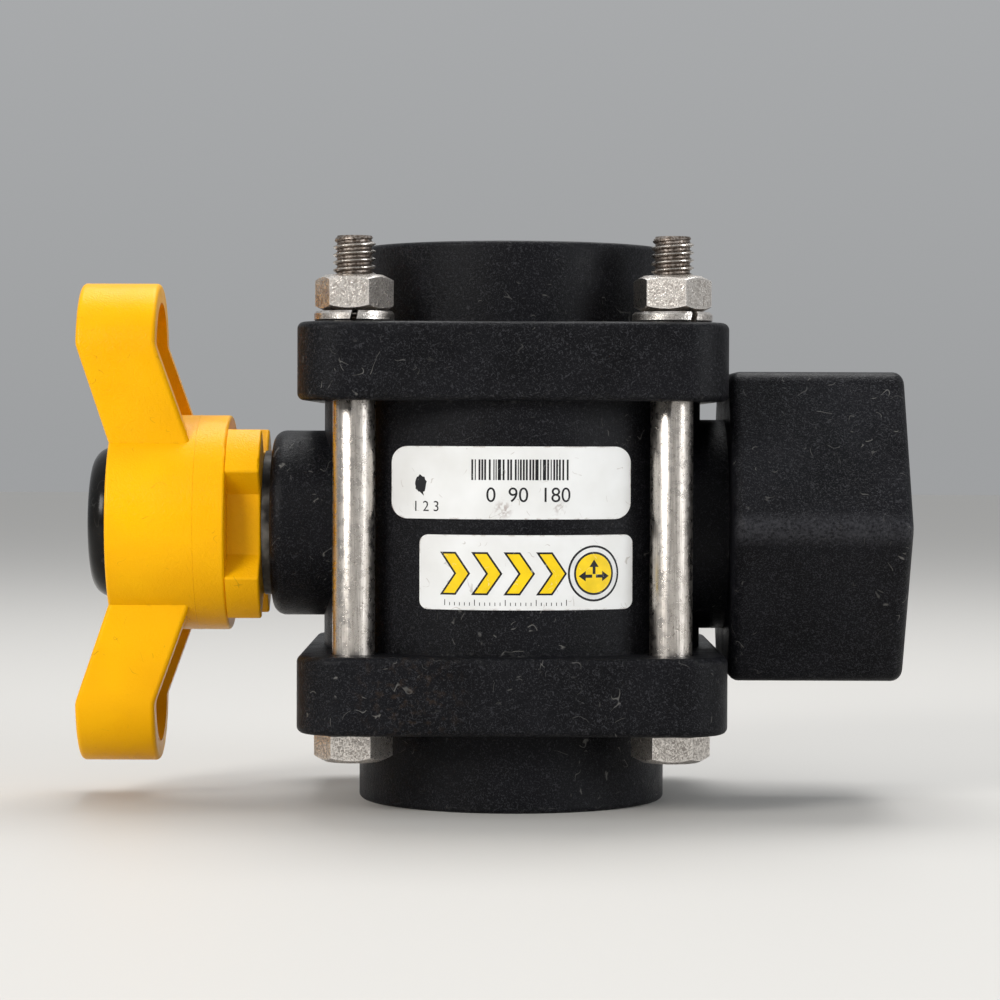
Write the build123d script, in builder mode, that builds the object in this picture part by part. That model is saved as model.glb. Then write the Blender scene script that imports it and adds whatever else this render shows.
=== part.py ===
from build123d import *
import os
from math import asin, degrees, radians, sqrt, tan

# Three-way ball valve with a moulded T-handle, standing on its lower port.
# Z runs up the flow axis. X runs along the stem, from the handle to the side port.
# The origin is the centre of the lower port's mouth, and lengths are in millimetres.
os.makedirs("parts", exist_ok=True)

# Clearances
running_clearance = 0.05
running_end_gap = 0.1
ball_clearance = 0.1
seated_clearance = 0.03
spigot_clearance = 0.1
ring_groove_room = 0.2

# Pipe ports
port_bore_diameter = 26.7
port_thread_depth = 20.0
port_mouth_chamfer = 0.4
waterway_diameter = 19.0

# Ball
ball_diameter = 40.0
ball_slot_width = 8.0
ball_slot_depth = 5.0
ball_chamber_gap = 2.0

# Ball seats and the rubber rings behind them
seat_outer_diameter = 33.0
seat_bore_diameter = 20.5
seat_height = 5.4
seat_heel = 1.3
seat_stand_out = 2.8
backing_ring_diameter = 26.8
backing_ring_width = 3.0
backing_ring_height = 2.2

# End caps
collar_diameter = 59.2
collar_height = 15.3
collar_edge_radius = 0.9
flange_thickness = 14.5
flange_corner_radius = 9.0
flange_edge_radius = 1.3
flange_edge_distance = 10.45
spigot_length = 7.55
cap_ring_width = 2.9
cap_ring_height = 2.2

# Barrel, handle boss, neck and hexagonal side port
barrel_wall = 14.5
boss_diameter = 35.9
boss_stand_out = 6.35
boss_edge_radius = 2.5
neck_diameter = 40.6
hex_flange_gap = 1.05
hex_across_flats = 58.8
hex_length = 33.3
hex_corner_radius = 3.5
hex_edge_radius = 2.2

# Through bolts, lock washers and nuts
bolt_diameter = 7.94
bolt_barrel_gap = 1.25
bolt_hole_clearance = 0.38
bolt_tip_stand_out = 7.25
bolt_tip_chamfer = 0.9
hex_key_width = 12.7
bolt_head_height = 5.36
nut_height = 6.75
wrench_bevel = 0.75
lock_washer_diameter = 14.9
lock_washer_thickness = 2.0
lock_washer_slit = 1.2
bolt_head_turns = (2.0, 17.0, 0.0, 41.0)
nut_turns = (-6.0, 25.0, -13.0, 8.0)
lock_washer_turns = (-70.0, 40.0, -125.0, 200.0)

# Stem
stem_diameter = 15.9
stem_ball_gap = 0.6
tang_width = 7.8
tang_end_gap = 0.15
shoulder_diameter = 24.0
shoulder_thickness = 4.0
thrust_washer_thickness = 1.5
stop_lug_height = 2.5
stop_lug_arc = 40.0
stop_lug_middle = -90.0
handle_travel = 180.0
stop_arc_clearance = 1.0
stem_ring_width = 2.6
stem_ring_height = 2.0
first_stem_ring = 4.9
stem_ring_spacing = 7.0
drive_square = 11.0
drive_clearance = 0.1
handle_washer_diameter = 28.0
handle_washer_thickness = 1.6
handle_washer_bore_gap = 0.2

# Handle
hub_diameter = 41.7
hub_edge_radius = 0.6
socket_depth = 17.5
socket_end_gap = 0.3
hub_web = 4.0
hub_recess_diameter = 24.2
hub_recess_depth = 7.6
castle_length = 6.5
castle_core_width = 27.6
castle_edge_radius = 0.5
wing_reach = 46.4
wing_width = 28.0
wing_bend_height = 34.3
wing_bend_radius = 4.0
wing_tip_offset = 6.4
wing_tip_thickness = 15.2
wing_root_thickness = 15.6
wing_wall = 3.7
wing_edge_radius = 0.9

# Handle screw, its washer and the snap-in cap
screw_diameter = 6.3
screw_length = 20.0
screw_hole_clearance = 0.2
screw_head_width = 11.1
screw_head_height = 4.0
screw_washer_diameter = 16.0
screw_washer_thickness = 1.6
cap_diameter = 29.3
cap_rise = 4.8
cap_crown_radius = 119.0
cap_edge_radius = 3.9
cap_shell = 2.0
cap_skirt_length = 6.0
cap_skirt_wall = 1.9

# Stickers on the front of the barrel
label_thickness = 0.15
upper_label_left = -22.5
upper_label_right = 21.9
upper_label_rise = 8.45
upper_label_height = 13.4
upper_label_corner = 3.0
lower_label_left = -17.2
lower_label_right = 22.3
lower_label_rise = -8.05
lower_label_height = 13.8
lower_label_corner = 1.6

# Distances from the valve's centre along the flow axis
ball_radius = ball_diameter / 2
seat_face_radius = ball_radius + ball_clearance
seat_back = sqrt(seat_face_radius**2 - (seat_bore_diameter / 2) ** 2) + seat_heel
seat_front = seat_back - seat_height
spigot_face = seat_front + seat_stand_out
barrel_length = 2 * (spigot_face + spigot_length)
face_to_face = barrel_length + 2 * (flange_thickness + collar_height)
centre_height = face_to_face / 2

# Sizes across the flow axis
chamber_diameter = ball_diameter + 2 * ball_chamber_gap
spigot_diameter = chamber_diameter - 2 * spigot_clearance
barrel_diameter = chamber_diameter + 2 * barrel_wall
bolt_hole_diameter = bolt_diameter + 2 * bolt_hole_clearance
bolt_spacing = (barrel_diameter + bolt_diameter + 2 * bolt_barrel_gap) / sqrt(2)
flange_side = bolt_spacing + 2 * flange_edge_distance

# Distances from the flow axis along the stem, towards the handle
shoulder_start = ball_radius + stem_ball_gap
shoulder_end = shoulder_start + shoulder_thickness
counterbore_floor = shoulder_end + running_end_gap + thrust_washer_thickness
boss_end = flange_side / 2 + boss_stand_out
drive_start = boss_end + handle_washer_thickness
handle_start = drive_start + running_end_gap
drive_end = handle_start + socket_depth - socket_end_gap
recess_floor = handle_start + socket_depth + hub_web
hub_end = recess_floor + hub_recess_depth
screw_seat = recess_floor + screw_washer_thickness

# Distances from the flow axis towards the side port
hex_start = flange_side / 2 + hex_flange_gap
hex_end = hex_start + hex_length

# Planes and axes that the pieces are drawn on
stem_plane = Plane(origin=(0, 0, centre_height), x_dir=(0, 0, 1), z_dir=(-1, 0, 0))
stem_section = Plane(origin=(0, 0, centre_height), x_dir=(-1, 0, 0), z_dir=(0, 1, 0))
stem_axis = Axis((0, 0, centre_height), (-1, 0, 0))
port_plane = Plane(origin=(0, 0, centre_height), x_dir=(0, 0, 1), z_dir=(1, 0, 0))
lower_mouth = Plane.XY
upper_mouth = Plane(origin=(0, 0, face_to_face), x_dir=(1, 0, 0), z_dir=(0, 0, -1))
mouths = {"lower": lower_mouth, "upper": upper_mouth}


def export(piece, name):
    """Label a finished piece and write it under its node's name."""
    piece.label = name
    export_step(piece, f"parts/{name}.step")


def section_of(mouth):
    """The plane through a port's axis: local X is the radius, local Y runs inwards."""
    return Plane(origin=mouth.origin, x_dir=mouth.x_dir, z_dir=-mouth.y_dir)


def ring_sector(inner_radius, outer_radius, start_angle, arc_size):
    """Draw a stretch of a flat ring in the open sketch."""
    with BuildLine() as outline:
        inner_arc = CenterArc((0, 0), inner_radius, start_angle, arc_size)
        outer_arc = CenterArc((0, 0), outer_radius, start_angle, arc_size)
        Line(inner_arc @ 0, outer_arc @ 0)
        Line(inner_arc @ 1, outer_arc @ 1)
    make_face(outline.edges())


def port_profile(end_of_waterway):
    """Draw half of a pipe port's hollow: radius across, distance from the mouth up."""
    mouth_radius = port_bore_diameter / 2 + port_mouth_chamfer
    bore_radius = port_bore_diameter / 2
    waterway_radius = waterway_diameter / 2
    with BuildLine() as outline:
        Polyline(
            (0, 0),
            (mouth_radius, 0),
            (bore_radius, port_mouth_chamfer),
            (bore_radius, port_thread_depth),
            (waterway_radius, port_thread_depth),
            (waterway_radius, end_of_waterway),
            (0, end_of_waterway),
            close=True,
        )
    make_face(outline.edges())


def bevelled_hexagon(plane, height, turn, bevel_foot):
    """A bolt head or nut blank that stands on a plane, its corners turned off by a cone."""
    corner_radius = hex_key_width / sqrt(3)
    flat_radius = corner_radius - wrench_bevel * sqrt(3)
    foot = [(corner_radius, 0)]
    if bevel_foot:
        foot = [(flat_radius, 0), (corner_radius, wrench_bevel)]
    with BuildPart() as blank:
        with BuildSketch(plane):
            RegularPolygon(hex_key_width / 2, 6, major_radius=False, rotation=turn)
        extrude(amount=height)
        with BuildSketch(section_of(plane)):
            with BuildLine():
                Polyline(
                    (0, 0),
                    *foot,
                    (corner_radius, height - wrench_bevel),
                    (flat_radius, height),
                    (0, height),
                    close=True,
                )
            make_face()
        revolve(axis=Axis(plane.origin, plane.z_dir), mode=Mode.INTERSECT)
    return blank.part


# Valve body: barrel, handle boss, neck and hexagonal port in one moulding
with BuildPart() as valve_body:
    with BuildSketch(Plane.XY.offset(centre_height - barrel_length / 2)):
        Circle(barrel_diameter / 2)
    extrude(amount=barrel_length)
    with BuildSketch(stem_plane):
        Circle(boss_diameter / 2)
    extrude(amount=boss_end)
    boss_rim = valve_body.faces().sort_by(Axis.X)[0].edges()
    fillet(boss_rim, boss_edge_radius)
    with BuildSketch(port_plane):
        Circle(neck_diameter / 2)
    extrude(amount=hex_start)
    with BuildSketch(port_plane.offset(hex_start)) as hexagon:
        RegularPolygon(hex_across_flats / 2, 6, major_radius=False, rotation=30)
        fillet(hexagon.vertices(), hex_corner_radius)
    extrude(amount=hex_length)
    hex_rims = valve_body.edges().filter_by_position(Axis.X, hex_start - 0.01, hex_end + 0.01)
    hex_inner_rim = hex_rims.group_by(Axis.X)[0].sort_by(SortBy.LENGTH)[:-1]
    hex_mouth_rim = hex_rims.group_by(Axis.X)[-1]
    fillet(hex_inner_rim + hex_mouth_rim, hex_edge_radius)

    # Hollows: ball chamber, side port, stem bore, thrust seat and the stop's arc
    with BuildSketch(Plane.XY.offset(centre_height - barrel_length / 2)):
        Circle(chamber_diameter / 2)
    extrude(amount=barrel_length, mode=Mode.SUBTRACT)
    side_mouth = Plane(origin=(hex_end, 0, centre_height), x_dir=(0, 0, 1), z_dir=(-1, 0, 0))
    with BuildSketch(section_of(side_mouth)):
        port_profile(hex_end)
    revolve(axis=stem_axis, mode=Mode.SUBTRACT)
    with BuildSketch(stem_plane):
        Circle(stem_diameter / 2 + running_clearance)
    extrude(amount=boss_end, mode=Mode.SUBTRACT)
    with BuildSketch(stem_plane):
        Circle(shoulder_diameter / 2 + running_end_gap)
    extrude(amount=counterbore_floor, mode=Mode.SUBTRACT)
    with BuildSketch(stem_plane):
        ring_sector(
            stem_diameter / 2,
            shoulder_diameter / 2 + stop_lug_height + running_end_gap,
            stop_lug_middle - stop_lug_arc / 2 - stop_arc_clearance,
            stop_lug_arc + handle_travel + 2 * stop_arc_clearance,
        )
    extrude(amount=shoulder_end + running_end_gap, mode=Mode.SUBTRACT)
export(valve_body.part, "valve_body")

# End caps, seats, backing rings and cap O-rings, the same at both ends of the flow axis
for end_name, mouth in mouths.items():
    flange_foot = mouth.offset(collar_height)
    spigot_foot = mouth.offset(collar_height + flange_thickness)
    section = section_of(mouth)
    inward = Axis(mouth.origin, mouth.z_dir)
    spigot_tip = centre_height - spigot_face
    pocket_floor = centre_height - seat_back
    ring_floor = pocket_floor - backing_ring_height - 2 * seated_clearance
    backing_groove_half = backing_ring_width / 2 + ring_groove_room
    cap_ring_middle = spigot_tip - spigot_length / 2
    chamber_radius = chamber_diameter / 2
    cap_groove_width = cap_ring_width + 2 * ring_groove_room
    cap_ring_floor = chamber_radius - cap_ring_height - 2 * seated_clearance

    with BuildPart() as end_cap:
        with BuildSketch(flange_foot):
            RectangleRounded(flange_side, flange_side, flange_corner_radius)
        extrude(amount=flange_thickness)
        fillet(end_cap.faces().filter_by(Axis.Z).edges(), flange_edge_radius)
        with BuildSketch(mouth):
            Circle(collar_diameter / 2)
        extrude(amount=collar_height)
        fillet(end_cap.edges().group_by(inward)[0], collar_edge_radius)
        with BuildSketch(spigot_foot):
            Circle(spigot_diameter / 2)
        extrude(amount=spigot_length)
        with GridLocations(bolt_spacing, bolt_spacing, 2, 2):
            Hole(bolt_hole_diameter / 2)
        with BuildSketch(section):
            port_profile(spigot_tip)
        revolve(axis=Axis.Z, mode=Mode.SUBTRACT)
        with BuildSketch(spigot_foot.offset(spigot_length)):
            Circle(seat_outer_diameter / 2 + seated_clearance)
        extrude(amount=pocket_floor - spigot_tip, mode=Mode.SUBTRACT)
        with BuildSketch(mouth.offset(ring_floor)):
            Circle(backing_ring_diameter / 2 + backing_groove_half)
            Circle(backing_ring_diameter / 2 - backing_groove_half, mode=Mode.SUBTRACT)
        extrude(amount=pocket_floor - ring_floor, mode=Mode.SUBTRACT)
        with BuildSketch(mouth.offset(cap_ring_middle - cap_groove_width / 2)):
            Circle(chamber_radius)
            Circle(cap_ring_floor, mode=Mode.SUBTRACT)
        extrude(amount=cap_groove_width, mode=Mode.SUBTRACT)
    export(end_cap.part, f"{end_name}_end_cap")

    with BuildPart() as seat:
        with BuildSketch(mouth.offset(pocket_floor)):
            Circle(seat_outer_diameter / 2)
            Circle(seat_bore_diameter / 2, mode=Mode.SUBTRACT)
        extrude(amount=seat_height)
        with Locations((0, 0, centre_height)):
            Sphere(seat_face_radius, mode=Mode.SUBTRACT)
    export(seat.part, f"{end_name}_seat")

    with BuildPart() as backing_ring:
        with BuildSketch(section):
            with Locations((backing_ring_diameter / 2, (pocket_floor + ring_floor) / 2)):
                SlotOverall(backing_ring_width, backing_ring_height)
        revolve(axis=Axis.Z)
    export(backing_ring.part, f"{end_name}_seat_backing_ring")

    with BuildPart() as cap_ring:
        with BuildSketch(section):
            with Locations(((chamber_radius + cap_ring_floor) / 2, cap_ring_middle)):
                SlotOverall(cap_ring_width, cap_ring_height, rotation=90)
        revolve(axis=Axis.Z)
    export(cap_ring.part, f"{end_name}_cap_o_ring")

# Ball: an L-shaped passage, from the side port to the port that the ball faces
with BuildPart() as ball:
    with Locations((0, 0, centre_height)):
        Sphere(ball_radius)
    with BuildSketch(port_plane):
        Circle(waterway_diameter / 2)
    extrude(amount=ball_radius, mode=Mode.SUBTRACT)
    with BuildSketch(Plane.XY):
        Circle(waterway_diameter / 2)
    extrude(amount=centre_height, mode=Mode.SUBTRACT)
    with Locations((0, 0, centre_height)):
        Sphere(waterway_diameter / 2, mode=Mode.SUBTRACT)
    with BuildSketch(stem_plane.offset(ball_radius - ball_slot_depth)):
        Rectangle(ball_diameter, ball_slot_width)
    extrude(amount=ball_slot_depth, mode=Mode.SUBTRACT)
export(ball.part, "ball")

# Stem: tang, shoulder with the stop lug, grooved shaft and square drive
ring_middles = [counterbore_floor + first_stem_ring]
ring_middles.append(ring_middles[0] + stem_ring_spacing)
stem_groove_width = stem_ring_width + 2 * ring_groove_room
groove_floor = stem_diameter / 2 - stem_ring_height - seated_clearance
screw_bore_radius = screw_diameter / 2 + seated_clearance
with BuildPart() as stem:
    with BuildSketch(stem_plane.offset(ball_radius - ball_slot_depth + tang_end_gap)):
        Rectangle(stem_diameter, tang_width)
        Circle(stem_diameter / 2, mode=Mode.INTERSECT)
    extrude(amount=ball_slot_depth - tang_end_gap + stem_ball_gap)
    with BuildSketch(stem_plane.offset(shoulder_start)):
        Circle(shoulder_diameter / 2)
        ring_sector(
            stem_diameter / 2,
            shoulder_diameter / 2 + stop_lug_height,
            stop_lug_middle - stop_lug_arc / 2,
            stop_lug_arc,
        )
    extrude(amount=shoulder_thickness)
    with BuildSketch(stem_plane.offset(shoulder_end)):
        Circle(stem_diameter / 2)
    extrude(amount=drive_start - shoulder_end)
    with BuildSketch(stem_plane.offset(drive_start)):
        Rectangle(drive_square, drive_square)
        Circle(stem_diameter / 2, mode=Mode.INTERSECT)
    extrude(amount=drive_end - drive_start)
    for ring_middle in ring_middles:
        with BuildSketch(stem_plane.offset(ring_middle - stem_groove_width / 2)):
            Circle(stem_diameter / 2)
            Circle(groove_floor, mode=Mode.SUBTRACT)
        extrude(amount=stem_groove_width, mode=Mode.SUBTRACT)
    with Locations(stem_plane.offset(drive_end)):
        Hole(screw_bore_radius, depth=screw_length)
export(stem.part, "stem")

# Stem O-rings, rubbing in the boss's bore
for ring_name, ring_middle in zip(("inner", "outer"), ring_middles):
    with BuildPart() as stem_ring:
        with BuildSketch(stem_section):
            ring_radius = groove_floor + seated_clearance + stem_ring_height / 2
            with Locations((ring_middle, ring_radius)):
                SlotOverall(stem_ring_width, stem_ring_height)
        revolve(axis=stem_axis)
    export(stem_ring.part, f"stem_o_ring_{ring_name}")

# Thrust washer behind the stem's shoulder
with BuildPart() as thrust_washer:
    with BuildSketch(stem_plane.offset(counterbore_floor - thrust_washer_thickness)):
        Circle(shoulder_diameter / 2)
        Circle(stem_diameter / 2 + handle_washer_bore_gap, mode=Mode.SUBTRACT)
    extrude(amount=thrust_washer_thickness)
export(thrust_washer.part, "stem_thrust_washer")

# Bearing washer between the boss and the handle
with BuildPart() as handle_washer:
    with BuildSketch(stem_plane.offset(boss_end)):
        Circle(handle_washer_diameter / 2)
        Circle(stem_diameter / 2 + handle_washer_bore_gap, mode=Mode.SUBTRACT)
    extrude(amount=handle_washer_thickness)
export(handle_washer.part, "handle_bearing_washer")


def wing_side(inner_shift, outer_shift):
    """Draw both wings seen from the side: distance along the stem across, height up."""
    hub_radius = hub_diameter / 2
    root_height = sqrt(hub_radius**2 - wing_width**2 / 4)
    root_inner = hub_end - wing_root_thickness + inner_shift
    tip_outer = hub_end + wing_tip_offset + outer_shift
    tip_inner = hub_end + wing_tip_offset - wing_tip_thickness + inner_shift
    with BuildLine() as outline:
        Polyline(
            (root_inner, 0),
            (root_inner, root_height),
            (tip_inner, wing_bend_height),
            (tip_inner, wing_reach),
            (tip_outer, wing_reach),
            (tip_outer, wing_bend_height),
            (hub_end + outer_shift, root_height),
            (hub_end + outer_shift, 0),
        )
        mirror(about=Plane.XZ)
    make_face(outline.edges())
    upper_bends = vertices().filter_by_position(Axis.Y, wing_bend_height - 1, wing_bend_height + 1)
    lower_bends = vertices().filter_by_position(Axis.Y, -wing_bend_height - 1, 1 - wing_bend_height)
    fillet(upper_bends + lower_bends, wing_bend_radius)


# Cores of the two wings, open towards the valve
with BuildPart() as wing_cores:
    with BuildSketch(stem_section):
        wing_side(-wing_root_thickness, -wing_wall)
    extrude(amount=wing_width / 2, both=True)
    with BuildSketch(stem_plane.offset(hub_end + wing_tip_offset)):
        SlotOverall(2 * (wing_reach - wing_wall), wing_width - 2 * wing_wall)
    extrude(amount=-2 * (wing_tip_thickness + wing_root_thickness), mode=Mode.INTERSECT)

# Inner end of the handle's hub, notched like a castle: four arms on an eight-sided core
castle_arm_width = castle_core_width * tan(radians(22.5))
with BuildPart() as castle:
    with BuildSketch(stem_plane.offset(handle_start)):
        RegularPolygon(castle_core_width / 2, 8, major_radius=False, rotation=22.5)
        Rectangle(hub_diameter, castle_arm_width, rotation=45)
        Rectangle(hub_diameter, castle_arm_width, rotation=-45)
        Circle(hub_diameter / 2, mode=Mode.INTERSECT)
    extrude(amount=castle_length)
    fillet(castle.edges().filter_by(Axis.X), castle_edge_radius)
    fillet(castle.faces().sort_by(Axis.X)[-1].edges(), castle_edge_radius)

# Drum of the hub, between the castle and the outer face
with BuildPart() as drum:
    with BuildSketch(stem_plane.offset(handle_start + castle_length)):
        Circle(hub_diameter / 2)
    extrude(amount=hub_end - handle_start - castle_length)
    fillet(drum.faces().filter_by(Axis.X).edges(), hub_edge_radius)

# Handle: two cored wings on the drum and the castle
with BuildPart() as handle:
    with BuildSketch(stem_section):
        wing_side(0, 0)
    extrude(amount=wing_width / 2, both=True)
    with BuildSketch(stem_plane.offset(hub_end + wing_tip_offset)):
        SlotOverall(2 * wing_reach, wing_width)
    extrude(amount=-wing_tip_thickness - wing_root_thickness, mode=Mode.INTERSECT)
    wing_edges = handle.edges()
    fillet(wing_edges - wing_edges.filter_by(Axis.Y), wing_edge_radius)
    add(wing_cores.part, mode=Mode.SUBTRACT)
    add([castle.part, drum.part])
    with BuildSketch(stem_plane.offset(recess_floor)):
        Circle(hub_recess_diameter / 2)
    extrude(amount=hub_recess_depth, mode=Mode.SUBTRACT)
    with BuildSketch(stem_plane.offset(handle_start)):
        Rectangle(drive_square + drive_clearance, drive_square + drive_clearance)
    extrude(amount=socket_depth, mode=Mode.SUBTRACT)
    with BuildSketch(stem_plane.offset(recess_floor)):
        Circle(screw_diameter / 2 + screw_hole_clearance)
    extrude(amount=-hub_web, mode=Mode.SUBTRACT)
export(handle.part, "handle")

# Screw that pulls the handle onto the stem, and its washer
with BuildPart() as handle_screw:
    with BuildSketch(stem_plane.offset(screw_seat)):
        RegularPolygon(screw_head_width / 2, 6, major_radius=False)
    extrude(amount=screw_head_height)
    with BuildSketch(stem_plane.offset(screw_seat)):
        Circle(screw_diameter / 2)
    extrude(amount=-screw_length)
export(handle_screw.part, "handle_screw")

with BuildPart() as screw_washer:
    with BuildSketch(stem_plane.offset(recess_floor)):
        Circle(screw_washer_diameter / 2)
        Circle(screw_diameter / 2 + screw_hole_clearance, mode=Mode.SUBTRACT)
    extrude(amount=screw_washer_thickness)
export(screw_washer.part, "handle_screw_washer")

# Domed cap that snaps into the hub: a crowned disc with a rounded rim, hollow behind
skirt_radius = hub_recess_diameter / 2 - seated_clearance
crown_centre = hub_end + cap_rise - cap_crown_radius
rim_height = cap_diameter / 2 - cap_edge_radius
rim_reach = cap_crown_radius - cap_edge_radius
rim_centre = crown_centre + sqrt(rim_reach**2 - rim_height**2)
crown_angle = degrees(asin(rim_height / rim_reach))
with BuildPart() as handle_cap:
    with BuildSketch(stem_section):
        with BuildLine():
            CenterArc((crown_centre, 0), cap_crown_radius, 0, crown_angle)
            CenterArc((rim_centre, rim_height), cap_edge_radius, crown_angle, 90 - crown_angle)
            Polyline(
                (rim_centre, cap_diameter / 2),
                (hub_end, cap_diameter / 2),
                (hub_end, 0),
                (hub_end + cap_rise, 0),
            )
        make_face()
    revolve(axis=stem_axis)
    with BuildSketch(stem_plane.offset(hub_end)):
        Circle(skirt_radius)
    extrude(amount=-cap_skirt_length)
    with BuildSketch(stem_plane.offset(hub_end - cap_skirt_length)):
        Circle(skirt_radius - cap_skirt_wall)
    extrude(amount=cap_skirt_length + cap_rise - cap_shell, mode=Mode.SUBTRACT)
export(handle_cap.part, "handle_cap")

# Four through bolts, with lock washers and nuts on the upper flange
bolt_places = GridLocations(bolt_spacing, bolt_spacing, 2, 2)
upper_face = face_to_face - collar_height
washer_top = upper_face + lock_washer_thickness
nut_top = washer_top + nut_height
bolt_tip = nut_top + bolt_tip_stand_out
bolts = []
lock_washers = []
nuts = []
bolt_turns = zip(bolt_places.locations, bolt_head_turns, nut_turns, lock_washer_turns)
for place, head_turn, nut_turn, slit_turn in bolt_turns:
    x = place.position.X
    y = place.position.Y
    head_plane = Plane(origin=(x, y, collar_height), x_dir=(1, 0, 0), z_dir=(0, 0, -1))
    nut_plane = Plane(origin=(x, y, washer_top))
    with BuildPart() as bolt:
        with BuildSketch(Plane((x, y, collar_height))):
            Circle(bolt_diameter / 2)
        extrude(amount=bolt_tip - collar_height)
        chamfer(bolt.edges().group_by(Axis.Z)[-1], bolt_tip_chamfer)
        add(bevelled_hexagon(head_plane, bolt_head_height, head_turn, False))
    bolts.append(bolt.part)
    with BuildPart() as lock_washer:
        with BuildSketch(Plane((x, y, upper_face))):
            Circle(lock_washer_diameter / 2)
            Circle(bolt_diameter / 2 + seated_clearance, mode=Mode.SUBTRACT)
            with PolarLocations(lock_washer_diameter / 2, 1, start_angle=slit_turn):
                Rectangle(lock_washer_diameter / 2, lock_washer_slit, mode=Mode.SUBTRACT)
        extrude(amount=lock_washer_thickness)
    lock_washers.append(lock_washer.part)
    with BuildPart() as nut:
        add(bevelled_hexagon(nut_plane, nut_height, nut_turn, True))
        with Locations(nut_plane):
            Hole(bolt_diameter / 2 + seated_clearance)
    nuts.append(nut.part)
export(Compound(children=bolts), "hex_bolts")
export(Compound(children=lock_washers), "lock_washers")
export(Compound(children=nuts), "hex_nuts")

# Two film stickers, wrapped round the front of the barrel
label_radius = barrel_diameter / 2 + seated_clearance
label_sizes = {
    "upper_label": (
        upper_label_left,
        upper_label_right,
        upper_label_rise,
        upper_label_height,
        upper_label_corner,
    ),
    "lower_label": (
        lower_label_left,
        lower_label_right,
        lower_label_rise,
        lower_label_height,
        lower_label_corner,
    ),
}
for label_name, (left, right, rise, height, corner) in label_sizes.items():
    with BuildPart() as label:
        with BuildSketch(Plane.XZ):
            with Locations(((left + right) / 2, centre_height + rise)):
                RectangleRounded(right - left, height, corner)
        extrude(amount=barrel_diameter)
        with BuildSketch(Plane.XY):
            Circle(label_radius + label_thickness)
            Circle(label_radius, mode=Mode.SUBTRACT)
        extrude(amount=face_to_face, mode=Mode.INTERSECT)
    export(label.part, label_name)
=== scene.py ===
# %% [markdown]
# # A three-way ball valve with a moulded T-handle
#
# The valve stands on its lower port. A black plastic barrel is clamped between two square end caps by
# four long stainless bolts. A yellow T-handle on the left turns the ball inside, and a hexagonal third
# port points to the right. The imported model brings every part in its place, so this lesson is about what
# makes the parts look real: moulded plastic with its grain, drawn steel, real threads, worn edges and
# printed stickers.

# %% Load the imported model
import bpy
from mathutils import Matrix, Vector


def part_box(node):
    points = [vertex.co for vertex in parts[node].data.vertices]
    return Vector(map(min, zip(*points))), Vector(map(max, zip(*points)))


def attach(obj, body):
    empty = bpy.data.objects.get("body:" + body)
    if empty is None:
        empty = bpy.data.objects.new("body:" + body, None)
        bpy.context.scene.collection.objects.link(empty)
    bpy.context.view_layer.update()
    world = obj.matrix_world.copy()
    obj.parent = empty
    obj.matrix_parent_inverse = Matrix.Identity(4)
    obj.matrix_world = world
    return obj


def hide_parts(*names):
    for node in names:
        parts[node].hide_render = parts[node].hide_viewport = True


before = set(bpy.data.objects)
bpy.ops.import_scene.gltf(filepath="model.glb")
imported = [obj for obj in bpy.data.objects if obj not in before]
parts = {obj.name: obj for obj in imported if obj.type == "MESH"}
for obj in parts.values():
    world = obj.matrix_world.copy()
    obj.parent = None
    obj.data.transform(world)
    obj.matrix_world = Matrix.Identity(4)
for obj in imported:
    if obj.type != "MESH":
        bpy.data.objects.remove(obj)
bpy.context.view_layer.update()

# %% [markdown]
# ## Sizes that the lesson needs
#
# Everything is in metres, and the origin is the middle of the lower port's mouth. The sizes come from the
# boxes of the loaded parts, so that each new piece sits on the part that carries it. Only the sizes that a
# box can't tell, such as a thread's pitch, are written down where they are first used.

# %% Read the valve's main sizes from the parts' boxes
import bmesh
import bpy
import random
from math import ceil, cos, floor, pi, radians, sin, tan, tau
from mathutils import Matrix, Vector

MM = 0.001
body_low, body_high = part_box("valve_body")
centre_height = (body_low.z + body_high.z) / 2
valve_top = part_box("upper_end_cap")[1].z
print(f"centre {centre_height / MM:.2f} mm up, top {valve_top / MM:.2f} mm up")

# %% [markdown]
# ## Camera
#
# The photograph was taken from the front with a long lens, a little above the middle of the valve, and the
# camera was held very slightly tilted. The distance comes from the way the far side of the end caps looks
# smaller than the near side. A camera looks down its own minus Z axis, so a quarter turn about X makes it
# look along plus Y, and the small turn about Y is the tilt.

# %% Stand the camera in front of the valve
camera_tilt = -0.2
camera_data = bpy.data.cameras.new("front_camera")
camera_data.lens = 113.7
camera = bpy.data.objects.new("front_camera", camera_data)
bpy.context.scene.collection.objects.link(camera)
camera.location = (-2.4 * MM, -616 * MM, 71.3 * MM)
camera.rotation_euler = (radians(90 - 1.25), radians(camera_tilt), 0)
bpy.context.scene.camera = camera
print("camera at", tuple(round(value, 4) for value in camera.location))

# %% [markdown]
# ## Floor, world and lamps
#
# A pale floor and a grey world light the dark plastic softly from all round. The world is brighter above
# than at the horizon, as a room is, so upright faces stay dark and upper edges catch the light. Area lamps
# in front, left and right, give the steel its bright bands, and one above and behind draws a line of light
# along the upper edges.

# %% Lay the floor and light the stage
def flat_material(name, colour, roughness):
    """A plain material for the stage, with no pattern."""
    material = bpy.data.materials.new(name)
    material.use_nodes = True
    shader = material.node_tree.nodes["Principled BSDF"]
    shader.inputs["Base Color"].default_value = (*colour, 1)
    shader.inputs["Roughness"].default_value = roughness
    return material


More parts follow.
